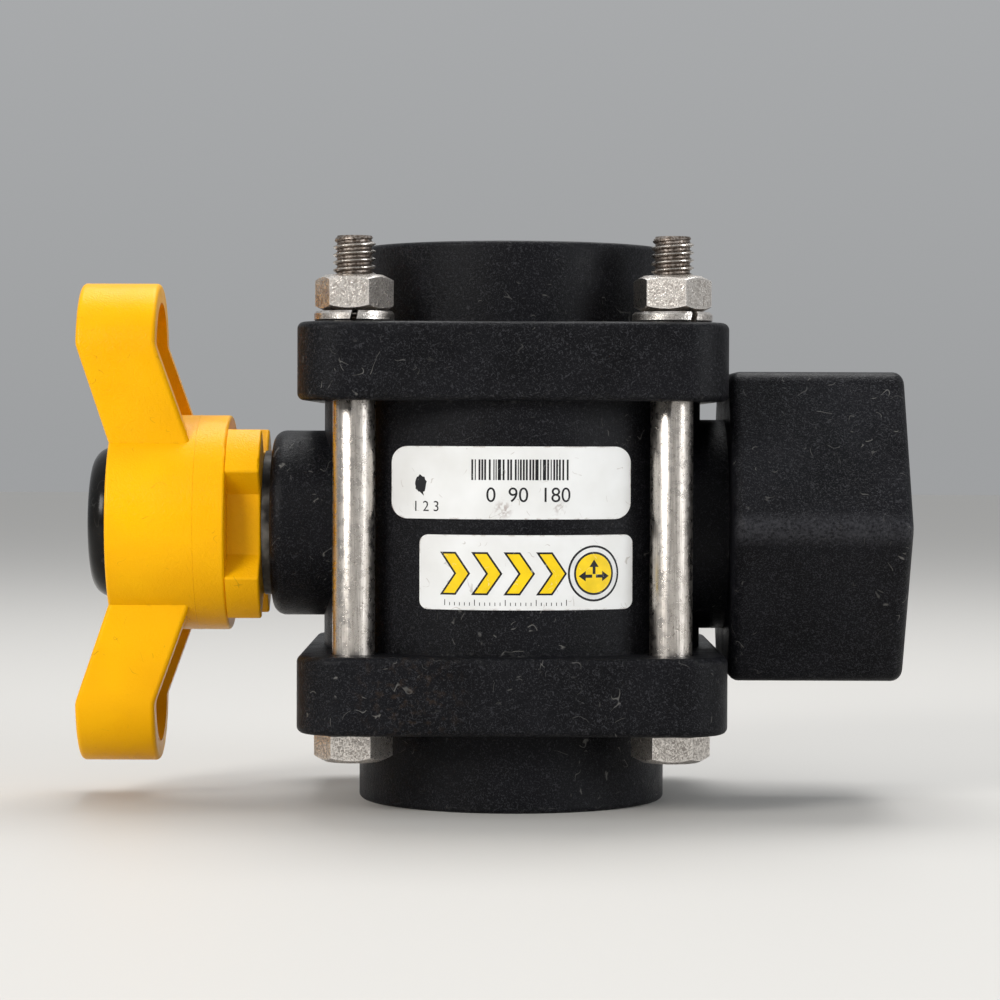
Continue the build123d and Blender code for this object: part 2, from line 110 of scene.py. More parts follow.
floor_reach = 3.0
stage_mesh = bpy.data.meshes.new("stage_floor")
stage_mesh.from_pydata(
    [(-floor_reach, -floor_reach, 0), (floor_reach, -floor_reach, 0),
     (floor_reach, floor_reach, 0), (-floor_reach, floor_reach, 0)],
    [], [(0, 1, 2, 3)],
)
stage_floor = bpy.data.objects.new("stage_floor", stage_mesh)
bpy.context.scene.collection.objects.link(stage_floor)
stage_mesh.materials.append(flat_material("pale_floor", (0.56, 0.545, 0.52), 0.6))

world = bpy.data.worlds.new("soft_studio")
bpy.context.scene.world = world
world.use_nodes = True
sky = world.node_tree
direction = sky.nodes.new("ShaderNodeTexCoord").outputs["Generated"]
split = sky.nodes.new("ShaderNodeSeparateXYZ")
sky.links.new(direction, split.inputs["Vector"])
height_in_sky = sky.nodes.new("ShaderNodeMapRange")
sky.links.new(split.outputs["Z"], height_in_sky.inputs["Value"])
height_in_sky.inputs["From Max"].default_value = 0.9
height_in_sky.inputs["To Min"].default_value = 0.36
height_in_sky.inputs["To Max"].default_value = 0.68
background = sky.nodes["Background"]
background.inputs["Color"].default_value = (0.96, 0.98, 1.0, 1)
sky.links.new(height_in_sky.outputs["Result"], background.inputs["Strength"])
bpy.context.scene.view_settings.view_transform = "Standard"


def add_lamp(name, place, target, size, power, colour=(1, 1, 1)):
    """A square area lamp that faces a point."""
    lamp_data = bpy.data.lights.new(name, "AREA")
    lamp_data.shape = "SQUARE"
    lamp_data.size = size
    lamp_data.energy = power
    lamp_data.color = colour
    lamp = bpy.data.objects.new(name, lamp_data)
    bpy.context.scene.collection.objects.link(lamp)
    lamp.location = place
    lamp.rotation_euler = (Vector(target) - Vector(place)).to_track_quat("-Z", "Y").to_euler()
    return lamp


middle = (0, 0, centre_height)
add_lamp("key_lamp", (-0.62, -0.72, 0.50), middle, 0.36, 6.6, (1.0, 0.98, 0.95))
add_lamp("fill_lamp", (0.80, -0.50, 0.30), middle, 0.36, 3.8, (0.96, 0.98, 1.0))
add_lamp("top_lamp", (0.05, 0.30, 0.80), middle, 0.5, 5.0)
print("stage ready")

# %% [markdown]
# ## How the materials are made
#
# Each finish is a small tree of shader nodes. To keep the trees readable, a few helpers do the work that
# every finish needs: they add a node, fill its sockets by name, and hand back the output. All patterns use
# object coordinates in metres, so a grain size is written as a real size, and nothing slides when the
# camera moves.

# %% Helpers that add shader nodes
def new_finish(name, roughness=0.5, metallic=0.0, specular=0.5):
    """A material with a Principled shader, and its single values set on their own sockets."""
    finish = bpy.data.materials.new(name)
    finish.use_nodes = True
    shader = finish.node_tree.nodes["Principled BSDF"]
    shader.inputs["Roughness"].default_value = roughness
    shader.inputs["Metallic"].default_value = metallic
    shader.inputs["Specular IOR Level"].default_value = specular
    return finish


def fill(finish, socket, value):
    """Link an output to a socket, or write a plain value into it."""
    if isinstance(value, bpy.types.NodeSocket):
        finish.node_tree.links.new(value, socket)
    else:
        socket.default_value = value


def add_node(finish, kind, output, settings=None, **sockets):
    """Add a node, fill its sockets by name, and return one of its outputs."""
    node = finish.node_tree.nodes.new(kind)
    for name, value in (settings or {}).items():
        setattr(node, name, value)
    for name, value in sockets.items():
        fill(finish, node.inputs[name.replace("_", " ")], value)
    return node.outputs[output]


def combine(finish, how, first, second, kind="ShaderNodeMath", output="Value"):
    """Two values in one: MULTIPLY, ADD, MAXIMUM, SUBTRACT and so on, or DISTANCE for two places."""
    node = finish.node_tree.nodes.new(kind)
    node.operation = how
    fill(finish, node.inputs[0], first)
    fill(finish, node.inputs[1], second)
    return node.outputs[output]


def layer(finish, mask, under, over):
    """Lay one colour over another where the mask is white."""
    node = finish.node_tree.nodes.new("ShaderNodeMix")
    node.data_type = "RGBA"
    fill(finish, node.inputs[0], mask)
    colour_sockets = [socket for socket in node.inputs if socket.type == "RGBA"]
    for socket, colour in zip(colour_sockets, (under, over)):
        fill(finish, socket, (*colour, 1) if isinstance(colour, tuple) else colour)
    return [socket for socket in node.outputs if socket.type == "RGBA"][0]


def raise_surface(finish, height, depth, under=None):
    """Bump: a white height stands `depth` metres above a black one. Bumps can be stacked."""
    sockets = {"Height": height, "Distance": depth, "Strength": 1.0}
    if under is not None:
        sockets["Normal"] = under
    return add_node(finish, "ShaderNodeBump", "Normal", **sockets)


def feed(finish, **sockets):
    """Link outputs to the shader's sockets by name."""
    shader = finish.node_tree.nodes["Principled BSDF"]
    for name, value in sockets.items():
        fill(finish, shader.inputs[name.replace("_", " ")], value)


# %% [markdown]
# ## Patterns for grain, dirt and scratches
#
# Real surfaces differ at three scales: broad soft patches, marks a few millimetres long, and a grain as
# fine as a hair. Noise gives the patches and the grain. A curved scratch is where a soft noise passes
# through its middle value, broken into short pieces by a second noise. Specks are the centres of a few
# random cells.

# %% Patterns that every finish can use
def object_place(finish, stretch=(1, 1, 1)):
    """Object coordinates, stretched for patterns with a direction."""
    here = add_node(finish, "ShaderNodeTexCoord", "Object")
    return add_node(finish, "ShaderNodeMapping", "Vector", Vector=here, Scale=stretch)


def noise(finish, place, size, detail=2.0, swirl=0.0):
    """Soft random grey whose patches are about `size` metres across."""
    return add_node(
        finish, "ShaderNodeTexNoise", "Fac", Vector=place, Scale=1 / size, Detail=detail, Distortion=swirl
    )


def between(finish, value, low, high, to_low=0.0, to_high=1.0):
    """Stretch the part of a grey value between low and high to a new range, and clip the rest."""
    return add_node(
        finish, "ShaderNodeMapRange", "Result",
        Value=value, From_Min=low, From_Max=high, To_Min=to_low, To_Max=to_high,
    )


def patches(finish, place, size, low, high, detail=3.0):
    """Broad patches that are black below one level of the noise and white above another."""
    return between(finish, noise(finish, place, size, detail), low, high)


def specks(finish, place, spacing, radius, share):
    """Sparse round spots: one cell in so many has a spot of a given radius."""
    cells = finish.node_tree.nodes.new("ShaderNodeTexVoronoi")
    cells.inputs["Scale"].default_value = 1 / spacing
    finish.node_tree.links.new(place, cells.inputs["Vector"])
    spot = between(finish, cells.outputs["Distance"], radius / spacing, 0.6 * radius / spacing)
    parted = add_node(finish, "ShaderNodeSeparateColor", "Red", Color=cells.outputs["Color"])
    chosen = between(finish, parted, 1 - share, 1 - 0.8 * share)
    return combine(finish, "MULTIPLY", spot, chosen)


def scratches(finish, place, size, width, low):
    """Thin curved lines, `size` sets how far they bend, and a higher `low` leaves fewer."""
    field = noise(finish, place, size, 1.0, 0.8)
    from_line = combine(finish, "ABSOLUTE", combine(finish, "SUBTRACT", field, 0.5), 0.0)
    reach = width / size
    line = between(finish, from_line, reach, 0.4 * reach)
    return combine(finish, "MULTIPLY", line, patches(finish, place, 0.45 * size, low, low + 0.05, 1.0))


def near(finish, place, point, reach):
    """White round a point, fading to black at the reach."""
    apart = combine(finish, "DISTANCE", place, point, "ShaderNodeVectorMath")
    return between(finish, apart, reach, 0.3 * reach)


def edge_wear(finish, reach):
    """White near edges, black on open faces: there the rounded normal differs from the true one."""
    rounded = add_node(finish, "ShaderNodeBevel", "Normal", {"samples": 4}, Radius=reach)
    true_normal = add_node(finish, "ShaderNodeNewGeometry", "Normal")
    likeness = combine(finish, "DOT_PRODUCT", rounded, true_normal, "ShaderNodeVectorMath")
    return between(finish, likeness, 0.995, 0.9)


print("pattern helpers ready")

# %% [markdown]
# ## Black moulded plastic
#
# The barrel and the end caps are glass-filled plastic. Close to, it has a fine crinkled skin, it is never
# one even black, and short glass fibres show in it. Handling has left a few pale scratches where hands and
# tools reach, dust in the grain and lighter, rubbed edges. A lighter grey band along the long front and back
# corners of the hexagon is a painted highlight: two masks round the corners' lines, seen along X. The lower
# end cap also has a brown scuff on its front. The marks and the painted highlight are layers of one colour
# over another, each with its own mask.

# %% Make the black moulded plastic
black_plastic = new_finish("moulded_black_plastic", 0.5, specular=0.11)
here = object_place(black_plastic)
black = layer(
    black_plastic, patches(black_plastic, here, 12 * MM, 0.35, 0.7),
    (0.0022, 0.0023, 0.0032), (0.0048, 0.0050, 0.0066),
)
fibres = combine(
    black_plastic, "MAXIMUM",
    scratches(black_plastic, here, 0.95 * MM, 0.034 * MM, 0.50),
    scratches(black_plastic, here, 0.55 * MM, 0.022 * MM, 0.50),
)
black = layer(black_plastic, combine(black_plastic, "MULTIPLY", fibres, 0.5), black, (0.046, 0.046, 0.052))
marks = combine(
    black_plastic, "MAXIMUM",
    scratches(black_plastic, here, 5 * MM, 0.055 * MM, 0.58), specks(black_plastic, here, 1.7 * MM, 0.10 * MM, 0.2),
)
handled = patches(black_plastic, here, 22 * MM, 0.43, 0.62, 1.0)
marks = combine(black_plastic, "MULTIPLY", marks, handled)
black = layer(black_plastic, combine(black_plastic, "MULTIPLY", marks, 0.6), black, (0.17, 0.165, 0.155))
edges = edge_wear(black_plastic, 1.7 * MM)
edge_wear_and_painted_highlight = combine(black_plastic, "MULTIPLY", edges, patches(black_plastic, here, 0.9 * MM, 0.55, 0.75, 4.0))
black = layer(black_plastic, combine(black_plastic, "MULTIPLY", edge_wear_and_painted_highlight, 0.45), black, (0.12, 0.118, 0.112))
# Painted highlight: a lighter grey band along the hexagon's long front and back corners.
across = object_place(black_plastic, (0, 1, 1))
painted_corner_highlight = combine(
    black_plastic, "MAXIMUM",
    near(black_plastic, across, (0, -33.2 * MM, centre_height), 3.6 * MM),
    near(black_plastic, across, (0, 33.2 * MM, centre_height), 3.6 * MM),
)
along = add_node(black_plastic, "ShaderNodeSeparateXYZ", "X", Vector=here)
painted_corner_highlight = combine(black_plastic, "MULTIPLY", painted_corner_highlight, between(black_plastic, along, 40 * MM, 42 * MM))
# The painted corner highlight, broken into grain and laid on in lighter grey.
edge_wear_and_painted_highlight = combine(black_plastic, "MULTIPLY", painted_corner_highlight, patches(black_plastic, here, 0.6 * MM, 0.3, 0.7))
black = layer(black_plastic, combine(black_plastic, "MULTIPLY", edge_wear_and_painted_highlight, 0.6), black, (0.050, 0.050, 0.056))
scuff_place = (-19 * MM, -40 * MM, 23 * MM)
scuff = combine(
    black_plastic, "MULTIPLY",
    near(black_plastic, here, scuff_place, 12 * MM), patches(black_plastic, here, 1.6 * MM, 0.52, 0.75, 4.0),
)
black = layer(black_plastic, combine(black_plastic, "MULTIPLY", scuff, 0.3), black, (0.085, 0.052, 0.030))
skin = raise_surface(black_plastic, noise(black_plastic, here, 0.55 * MM, 3.0, 1.2), 0.10 * MM)
skin = raise_surface(black_plastic, fibres, 0.025 * MM, skin)
dullness = between(black_plastic, noise(black_plastic, here, 6 * MM, 3.0), 0.3, 0.7, 0.34, 0.48)
feed(black_plastic, Base_Color=black, Roughness=dullness, Normal=skin)
for name in ("valve_body", "lower_end_cap", "upper_end_cap"):
    parts[name].data.materials[0] = black_plastic
print("black plastic on the body and both end caps")

# %% [markdown]
# ## Yellow handle plastic
#
# The handle is coloured right through, with a satin, slightly rippled skin like orange peel. It carries
# tiny dark nicks, and a darker orange in blotches along its edges and in its inner corners. The ripple is a
# swirled noise about a millimetre wide, with a finer one on top.

# %% Make the yellow plastic
yellow_plastic = new_finish("yellow_satin_plastic", 0.4, specular=0.12)
here = object_place(yellow_plastic)
yellow = layer(
    yellow_plastic, patches(yellow_plastic, here, 16 * MM, 0.3, 0.7, 2.0),
    (0.86, 0.40, 0.0), (0.92, 0.46, 0.0),
)
nicks = specks(yellow_plastic, here, 2.6 * MM, 0.10 * MM, 0.16)
scrapes = combine(yellow_plastic, "MULTIPLY", scratches(yellow_plastic, here, 6 * MM, 0.03 * MM, 0.62), 0.5)
nicks = combine(yellow_plastic, "MAXIMUM", nicks, scrapes)
yellow = layer(yellow_plastic, combine(yellow_plastic, "MULTIPLY", nicks, 0.6), yellow, (0.13, 0.05, 0.01))
# A darker orange in blotches along edges and in inner corners, from the bevel mask.
darker_edges_and_corners = combine(
    yellow_plastic, "MULTIPLY",
    edge_wear(yellow_plastic, 0.8 * MM), patches(yellow_plastic, here, 1.8 * MM, 0.5, 0.75, 4.0),
)
yellow = layer(yellow_plastic, combine(yellow_plastic, "MULTIPLY", darker_edges_and_corners, 0.45), yellow, (0.42, 0.17, 0.01))
satin = raise_surface(yellow_plastic, noise(yellow_plastic, here, 1.0 * MM, 2.0, 2.0), 0.07 * MM)
satin = raise_surface(yellow_plastic, noise(yellow_plastic, here, 0.4 * MM, 1.0), 0.02 * MM, satin)
sheen = between(yellow_plastic, noise(yellow_plastic, here, 5 * MM, 2.0), 0.3, 0.7, 0.28, 0.40)
feed(yellow_plastic, Base_Color=yellow, Roughness=sheen, Normal=satin)
parts["handle"].data.materials[0] = yellow_plastic
print("yellow plastic on the handle")

# %% [markdown]
# ## The other plastics and the rubber
#
# The domed cap is polished black plastic with a few hairline scratches. The ball and the stem are turned
# from dense black plastic, so they are smooth with fine tool marks. Seats and washers are PTFE, white and
# waxy, with grey scratches and specks. The handle's bearing washer is painted nearly black: painted shade
# of the narrow gap between the handle and the body, where it sits. The rings are matt rubber with a faint bloom.

# %% Make the smooth plastics and the rubber
def smooth_finish(name, dark, light, dullness, specular, mark_colour, mark_strength, ripple):
    """Two close shades in soft patches, hairline marks, and a shallow ripple."""
    finish = new_finish(name, dullness, specular=specular)
    here = object_place(finish)
    colour = layer(finish, patches(finish, here, 4 * MM, 0.35, 0.68), dark, light)
    marks = combine(
        finish, "MAXIMUM",
        scratches(finish, here, 6 * MM, 0.04 * MM, 0.52), specks(finish, here, 2.2 * MM, 0.08 * MM, 0.15),
    )
    colour = layer(finish, combine(finish, "MULTIPLY", marks, mark_strength), colour, mark_colour)
    surface = raise_surface(finish, noise(finish, here, 0.9 * MM, 3.0, 0.6), ripple)
    spread = between(finish, noise(finish, here, 2.5 * MM, 3.0), 0.3, 0.7, 0.8 * dullness, 1.25 * dullness)
    feed(finish, Base_Color=colour, Roughness=spread, Normal=surface)
    return finish


smooth_finishes = {
    "polished_black_plastic": smooth_finish(
        "polished_black_plastic", (0.003, 0.003, 0.003), (0.007, 0.0065, 0.006), 0.2, 0.16,
        (0.10, 0.10, 0.10), 0.2, 0.006 * MM),
    "turned_black_plastic": smooth_finish(
        "turned_black_plastic", (0.014, 0.014, 0.016), (0.022, 0.022, 0.024), 0.28, 0.45,
        (0.10, 0.10, 0.10), 0.3, 0.008 * MM),
    "waxy_white_seat": smooth_finish(
        "waxy_white_seat", (0.70, 0.69, 0.66), (0.82, 0.82, 0.80), 0.42, 0.4,
        (0.25, 0.23, 0.20), 0.5, 0.015 * MM),
    # Painted shade: the bearing washer is coloured nearly black, as the shade of the gap it sits in.
    "washer_painted_as_gap_shade": smooth_finish(
        "washer_painted_as_gap_shade", (0.012, 0.010, 0.009), (0.16, 0.15, 0.135), 0.6, 0.15,
        (0.05, 0.04, 0.03), 0.6, 0.03 * MM),
    "matt_black_rubber": smooth_finish(
        "matt_black_rubber", (0.014, 0.014, 0.014), (0.026, 0.026, 0.025), 0.7, 0.3,
        (0.06, 0.06, 0.06), 0.4, 0.02 * MM),
}
wears = {
    "polished_black_plastic": ["handle_cap"],
    "turned_black_plastic": ["ball", "stem"],
    "waxy_white_seat": ["upper_seat", "lower_seat", "stem_thrust_washer"],
    "washer_painted_as_gap_shade": ["handle_bearing_washer"],
    "matt_black_rubber": [
        "upper_seat_backing_ring", "lower_seat_backing_ring", "upper_cap_o_ring", "lower_cap_o_ring",
        "stem_o_ring_inner", "stem_o_ring_outer",
    ],
}
for finish_name, wearers in wears.items():
    for name in wearers:
        parts[name].data.materials[0] = smooth_finishes[finish_name]
    print(finish_name, "on", ", ".join(wearers))

# %% [markdown]
# ## Stainless steel
#
# The bolt shanks are drawn wire: streaks run along them, with pits and a few dark dots. Nuts, heads and
# washers are cold-formed and tumbled, so their faces are mottled like hammered tin, dull in the hollows and
# bright on the rubbed corners. A trace of brown stain has crept out under the front left nut. The streaks
# are a noise stretched along Z, and the mottling is a noise in both roughness and bump.

# %% Make the drawn and the tumbled steel
drawn_steel = new_finish("drawn_steel", 0.3, 1.0)
streaks = noise(drawn_steel, object_place(drawn_steel, (1, 1, 0.02)), 0.16 * MM, 2.0)
here = object_place(drawn_steel)
steel = layer(drawn_steel, between(drawn_steel, streaks, 0.3, 0.7), (0.40, 0.365, 0.33), (0.70, 0.655, 0.605))
pits = combine(
    drawn_steel, "MAXIMUM",
    specks(drawn_steel, here, 0.9 * MM, 0.10 * MM, 0.25), patches(drawn_steel, here, 0.4 * MM, 0.62, 0.70, 2.0),
)
steel = layer(drawn_steel, combine(drawn_steel, "MULTIPLY", pits, 0.6), steel, (0.13, 0.105, 0.085))
dullness = between(drawn_steel, noise(drawn_steel, here, 1.6 * MM, 4.0), 0.3, 0.7, 0.20, 0.38)
pitted = raise_surface(drawn_steel, combine(drawn_steel, "SUBTRACT", 1.0, pits), 0.02 * MM)
pitted = raise_surface(drawn_steel, streaks, 0.004 * MM, pitted)
pitted = raise_surface(drawn_steel, noise(drawn_steel, here, 0.7 * MM, 3.0), 0.012 * MM, pitted)
feed(drawn_steel, Base_Color=steel, Roughness=dullness, Normal=pitted)

tumbled_steel = new_finish("tumbled_steel", 0.35, 1.0)
here = object_place(tumbled_steel)
mottle = noise(tumbled_steel, here, 0.62 * MM, 4.0, 2.2)
steel = layer(tumbled_steel, between(tumbled_steel, mottle, 0.42, 0.58), (0.32, 0.29, 0.265), (0.80, 0.755, 0.705))
bright = edge_wear(tumbled_steel, 0.75 * MM)
steel = layer(tumbled_steel, combine(tumbled_steel, "MULTIPLY", bright, 0.75), steel, (0.84, 0.80, 0.76))
stain_place = (-36 * MM, -31 * MM, 94 * MM)
stain = combine(
    tumbled_steel, "MULTIPLY",
    near(tumbled_steel, here, stain_place, 7 * MM), patches(tumbled_steel, here, 1.4 * MM, 0.42, 0.62, 4.0),
)
stain = combine(
    tumbled_steel, "MAXIMUM", stain,
    combine(tumbled_steel, "MULTIPLY", specks(tumbled_steel, here, 1.3 * MM, 0.13 * MM, 0.25), 0.8),
)
steel = layer(tumbled_steel, combine(tumbled_steel, "MULTIPLY", stain, 0.6), steel, (0.17, 0.095, 0.055))
dullness = between(tumbled_steel, mottle, 0.35, 0.65, 0.45, 0.2)
hammered = raise_surface(tumbled_steel, combine(tumbled_steel, "MAXIMUM", mottle, bright), 0.06 * MM)
hammered = raise_surface(tumbled_steel, noise(tumbled_steel, here, 2.2 * MM, 1.0), 0.03 * MM, hammered)
feed(tumbled_steel, Base_Color=steel, Roughness=dullness, Normal=hammered)
grimy_steel = new_finish("grimy_steel", 0.5, 1.0)
here = object_place(grimy_steel)
steel = layer(grimy_steel, patches(grimy_steel, here, 0.5 * MM, 0.4, 0.65), (0.10, 0.075, 0.058), (0.33, 0.29, 0.26))
gritty = raise_surface(grimy_steel, noise(grimy_steel, here, 0.2 * MM, 3.0), 0.03 * MM)
feed(grimy_steel, Base_Color=steel, Normal=gritty,
     Roughness=between(grimy_steel, noise(grimy_steel, here, 0.4 * MM), 0.3, 0.7, 0.35, 0.6))
for name in ("handle_screw", "handle_screw_washer"):
    parts[name].data.materials[0] = tumbled_steel
print("three steels, the handle's screw and washer are tumbled")

# %% [markdown]
# ## From rings of points to a piece
#
# Bolts, nuts and threads are round things, so each is built as a stack of rings with 48 points. The radius
# and the height of a ring may change with the angle, which is enough for a hexagon with cone-cut corners.
# A last helper turns the finished shape into a piece: it closes the normals, marks the sharp edges, hands
# over the finish, parents the piece to an empty for the body that carries it, and hides the plain parts
# it stands for.

# %% Helpers that build shapes from rings
RING_STEPS = 48


def stack(shape, levels):
    """Rings of points joined by bands. Each level is a radius and a height, or functions of the angle."""
    rings = []
    for radius, height in levels:
        ring = []
        for step in range(RING_STEPS):
            angle = tau * step / RING_STEPS
            reach = radius(angle) if callable(radius) else radius
            level = height(angle) if callable(height) else height
            ring.append(shape.verts.new((reach * cos(angle), reach * sin(angle), level)))
        rings.append(ring)
    for lower, upper in zip(rings, rings[1:]):
        join_rings(shape, lower, upper)
    return rings


def join_rings(shape, lower, upper):
    """One band of four-sided faces between two rings."""
    for step in range(len(lower)):
        after = (step + 1) % len(lower)
        shape.faces.new((lower[step], lower[after], upper[after], upper[step]))


def place_shape(shape, matrix):
    """Move or turn the whole shape."""
    bmesh.ops.transform(shape, matrix=matrix, verts=shape.verts[:])


def make_piece(name, shape, finishes, body, stands_for=()):
    """Turn a closed shape into a piece that rides on a body. It may wear one finish or a list of them."""
    bmesh.ops.recalc_face_normals(shape, faces=shape.faces[:])
    open_edges = sum(not edge.is_manifold for edge in shape.edges)
    for face in shape.faces:
        face.smooth = True
    for edge in shape.edges:
        edge.smooth = edge.calc_face_angle(0) < radians(34)
    mesh = bpy.data.meshes.new(name)
    shape.to_mesh(mesh)
    shape.free()
    for finish in finishes if isinstance(finishes, list) else [finishes]:
        mesh.materials.append(finish)
    piece = bpy.data.objects.new(name, mesh)
    bpy.context.scene.collection.objects.link(piece)
    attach(piece, body)
    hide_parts(*stands_for)
    print(name, len(mesh.polygons), "faces,", open_edges, "open edges")
    return piece


# %% [markdown]
# ## A thread that is really cut
#
# A screw thread is a profile that climbs one pitch in a turn. Here the rings of points climb as they go
# round, and at the end of a turn each row is joined to the row one pitch higher. That gives one endless
# skin with no seam. Both ends of such a skin are slanted, so two flat cuts trim it, as a parting tool does
# on a lathe. The same helper makes the outside thread of a bolt and the inside thread of a pipe port.

# %% Helper that cuts a thread
PROFILE_PLACES = (0, 0.125, 0.28, 0.4375, 0.6875, 0.84)


def thread_depth(place):
    """How deep the profile is at a place in the pitch, from 0 on the crest to 1 in the root."""
    crest_end, root_start, root_end = 0.125, 0.4375, 0.6875
    if place < crest_end:
        return 0
    if place < root_start:
        return (place - crest_end) / (root_start - crest_end)
    if place < root_end:
        return 1
    return (1 - place) / (1 - root_end)


def cut_flat(shape, height, up):
    """Cut away what is above a height, or below it."""
    everything = shape.verts[:] + shape.edges[:] + shape.faces[:]
    bmesh.ops.bisect_plane(
        shape, geom=everything, dist=1e-7, plane_co=(0, 0, height), plane_no=(0, 0, up), clear_outer=True
    )


def edges_at(shape, height):
    """The open edges at one height."""
    return [
        edge for edge in shape.edges
        if edge.is_boundary and all(abs(vert.co.z - height) < 1e-6 for vert in edge.verts)
    ]


def thread_skin(low, high, pitch, radius_at):
    """A climbing skin between two flat cuts. radius_at gives the radius from the depth and the height."""
    shape = bmesh.new()
    rows = []
    for turn in range(floor(low / pitch) - 2, ceil(high / pitch) + 2):
        for place in PROFILE_PLACES:
            row = []
            for step in range(RING_STEPS):
                angle = tau * step / RING_STEPS
                height = pitch * (turn + place + step / RING_STEPS)
                radius = radius_at(thread_depth(place), height)
                row.append(shape.verts.new((radius * cos(angle), radius * sin(angle), height)))
            rows.append(row)
    one_turn = len(PROFILE_PLACES)
    for index in range(len(rows) - 1 - one_turn):
        for step in range(RING_STEPS):
            after = (step + 1) % RING_STEPS
            climb = one_turn if after == 0 else 0
            shape.faces.new((
                rows[index][step], rows[index + climb][after],
                rows[index + 1 + climb][after], rows[index + 1][step],
            ))
    bmesh.ops.delete(shape, geom=[vert for vert in shape.verts if not vert.link_faces], context="VERTS")
    cut_flat(shape, high, 1)
    cut_flat(shape, low, -1)
    return shape


# %% [markdown]
# ## Four long bolts
#
# Each bolt has a hexagon head with a cone-cut outer end and a thin round face under it, a plain drawn
# shank as thick as the thread, and a coarse thread with a tapered tip. The photograph shows five turns
# above each nut. The pitch, 18 turns to the inch, is what tells the bolt's size. The heads are turned as
# they happened to be tightened.

# %% Build the bolts
bolts_low, bolts_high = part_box("hex_bolts")
washers_low, washers_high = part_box("lock_washers")
nuts_low, nuts_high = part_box("hex_nuts")
washer_radius = 7.45 * MM
bolt_reach = washers_high.x - washer_radius
bolt_radius = 7.94 / 2 * MM
bolt_pitch = 25.4 / 18 * MM
bolt_thread_depth = 0.54 * bolt_pitch
key_width = 12.7 * MM
head_height = 5.36 * MM
bolt_places = {
    "front_left": (-bolt_reach, -bolt_reach), "back_left": (-bolt_reach, bolt_reach),
    "front_right": (bolt_reach, -bolt_reach), "back_right": (bolt_reach, bolt_reach),
}
face_radius = 0.84 * key_width / 2
cone_slope = radians(27)


def hexagon(angle):
    """Distance from the axis to the side of the hexagon, with its corners at 0, 60, 120 degrees."""
    return key_width / 2 / cos(angle % (pi / 3) - pi / 6)


def cone_cut(angle):
    """How far a cone takes the side back from the end face, most of all at the corners."""
    return (hexagon(angle) - face_radius) * tan(cone_slope)


def soften_corners(shape, width):
    """Round every edge that turns by more than 35 degrees."""
    corners = [edge for edge in shape.edges if edge.calc_face_angle(0) > radians(35)]
    bmesh.ops.bevel(shape, geom=corners, offset=width, segments=2, profile=0.5, affect="EDGES")


def build_bolt(turn):
    """One bolt on the Z axis, head down."""
    shape = bmesh.new()
    seat = bolts_low.z + head_height
    rings = stack(shape, [
        (face_radius, bolts_low.z),
        (hexagon, lambda angle: bolts_low.z + cone_cut(angle)),
        (hexagon, seat - 0.4 * MM),
        (0.94 * key_width / 2, seat - 0.4 * MM),
        (0.94 * key_width / 2, seat),
        (bolt_radius, seat),
    ])
    shape.faces.new(rings[0][::-1])
    soften_corners(shape, 0.25 * MM)
    place_shape(shape, Matrix.Rotation(radians(-turn), 4, "Z"))
    for face in shape.faces:
        face.material_index = 2
    head = bpy.data.meshes.new("head")
    shape.to_mesh(head)
    shape.free()

    thread_start = bolts_high.z - 22 * MM
    tip_radius = bolt_radius - 0.95 * bolt_thread_depth

    def bolt_surface(depth, height):
        taper = tip_radius + 0.55 * (bolts_high.z - height)
        return min(bolt_radius - depth * bolt_thread_depth, taper)

    shape = thread_skin(thread_start, bolts_high.z, bolt_pitch, bolt_surface)
    bmesh.ops.edgeloop_fill(shape, edges=edges_at(shape, bolts_high.z))
    shape.from_mesh(head)
    bpy.data.meshes.remove(head)
    shank_top = thread_start - 0.8 * MM
    stack(shape, [(bolt_radius, seat + 0.5 * MM), (bolt_radius, shank_top)])
    bmesh.ops.bridge_loops(shape, edges=edges_at(shape, seat) + edges_at(shape, seat + 0.5 * MM))
    bmesh.ops.bridge_loops(shape, edges=edges_at(shape, shank_top) + edges_at(shape, thread_start))
    root_radius = bolt_radius - 0.45 * bolt_thread_depth
    for face in shape.faces:
        middle_of_face = face.calc_center_median()
        if middle_of_face.z > thread_start and middle_of_face.xy.length < root_radius:
            face.material_index = 1 if face.normal.z < 0.9 else 0
    return shape


head_turns = {"front_left": 2, "back_left": 17, "front_right": 0, "back_right": 41}
for corner, (x, y) in bolt_places.items():
    shape = build_bolt(head_turns[corner])
    place_shape(shape, Matrix.Translation((x, y, 0)))
    finishes = [drawn_steel, grimy_steel, tumbled_steel]
    make_piece(f"bolt_{corner}", shape, finishes, "valve", ["hex_bolts"])

# %% [markdown]
# ## Nuts and split lock washers
#
# The nuts are cone-cut at both ends, and the hole is countersunk so that the first thread doesn't catch.
# A lock washer is one turn of flattened wire with a slanting gap, and its corners are broken by tumbling.
# The washers are swept round as a profile of eight points, and the whole ring is sheared a little so that
# the gap slants.

# %% Build the nuts and the washers
def build_nut():
    """One nut on the Z axis."""
    low, high = nuts_low.z, nuts_high.z
    shape = bmesh.new()
    rings = stack(shape, [
        (bolt_radius + 0.45 * MM, low),
        (face_radius, low),
        (hexagon, lambda angle: low + cone_cut(angle)),
        (hexagon, lambda angle: high - cone_cut(angle)),
        (face_radius, high),
        (bolt_radius + 0.45 * MM, high),
        (bolt_radius - 0.3 * MM, high - 0.7 * MM),
        (bolt_radius - 0.3 * MM, low + 0.7 * MM),
    ])
    join_rings(shape, rings[-1], rings[0])
    soften_corners(shape, 0.25 * MM)
    return shape


